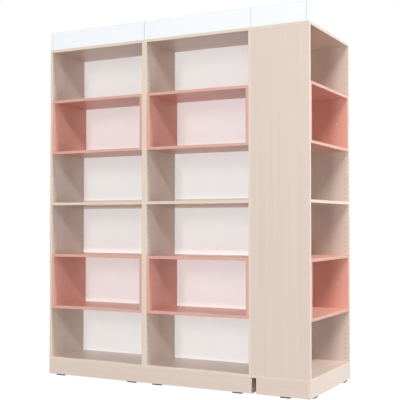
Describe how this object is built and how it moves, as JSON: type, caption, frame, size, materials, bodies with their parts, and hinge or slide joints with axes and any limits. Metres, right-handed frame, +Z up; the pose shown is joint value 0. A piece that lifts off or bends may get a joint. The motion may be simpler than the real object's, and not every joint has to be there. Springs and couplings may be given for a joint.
{
  "type": "double sided library shelving",
  "caption": "Tall free-standing shelving, open to front and back in two bays, with an end unit across one end, coral box inserts, a plinth and a white pelmet.",
  "frame": {"origin": "on the floor, under the middle of the whole piece", "axes": "+Z up; +X along the run towards the end unit, whose shelves face +X; the bays open to -Y (front) and +Y (rear)"},
  "size_m": [1.898, 0.756, 2.353],
  "materials": {
    "beige_board": "melamine faced board, pale beige with a fine upright grain",
    "coral_board": "melamine faced board, plain coral",
    "white_sheet": "white lacquered hardboard",
    "white_board": "melamine faced board, plain white",
    "raw_wood": "plain beech and pine",
    "steel": "zinc plated",
    "coral_plastic": "moulded",
    "dark_plastic": "moulded"
  },
  "bodies": {
    "root": {"bay_1_back_lower": "white_sheet", "bay_1_back_upper": "white_sheet", "bay_1_bottom": "beige_board", "bay_1_lower_box_front": "coral_board", "bay_1_lower_box_rear": "coral_board", "bay_1_rail": "beige_board", "bay_1_shelf_front": "beige_board", "bay_1_shelf_rear": "beige_board", "bay_1_side_left": "beige_board", "bay_1_side_right": "beige_board", "bay_1_top": "beige_board", "bay_1_upper_box_front": "coral_board", "bay_1_upper_box_rear": "coral_board", "bay_2_back_lower": "white_sheet", "bay_2_back_upper": "white_sheet", "bay_2_bottom": "beige_board", "bay_2_lower_box_front": "coral_board", "bay_2_lower_box_rear": "coral_board", "bay_2_rail": "beige_board", "bay_2_shelf_front": "beige_board", "bay_2_shelf_rear": "beige_board", "bay_2_side_left": "beige_board", "bay_2_side_right": "beige_board", "bay_2_top": "beige_board", "bay_2_upper_box_front": "coral_board", "bay_2_upper_box_rear": "coral_board", "box_screw_caps": "coral_plastic", "box_screws": "steel", "connectors": "steel", "dowels": "raw_wood", "end_back_lower": "white_sheet", "end_back_upper": "white_sheet", "end_bottom": "beige_board", "end_lower_box": "coral_board", "end_plinth_far": "beige_board", "end_plinth_front": "beige_board", "end_plinth_near": "beige_board", "end_plinth_rear": "beige_board", "end_rail": "beige_board", "end_shelf": "beige_board", "end_side_far": "beige_board", "end_side_near": "beige_board", "end_top": "beige_board", "end_upper_box": "coral_board", "glides": "dark_plastic", "pelmet_blocks": "raw_wood", "pelmet_end_far": "white_board", "pelmet_end_front": "white_board", "pelmet_end_near": "white_board", "pelmet_front_1": "white_board", "pelmet_front_2": "white_board", "pelmet_left": "white_board", "pelmet_rear_1": "white_board", "pelmet_rear_2": "white_board", "plinth_blocks": "raw_wood", "run_plinth_bearer": "beige_board", "run_plinth_front": "beige_board", "run_plinth_left": "beige_board", "run_plinth_rear": "beige_board", "run_plinth_right": "beige_board"}
  },
  "joints": []
}
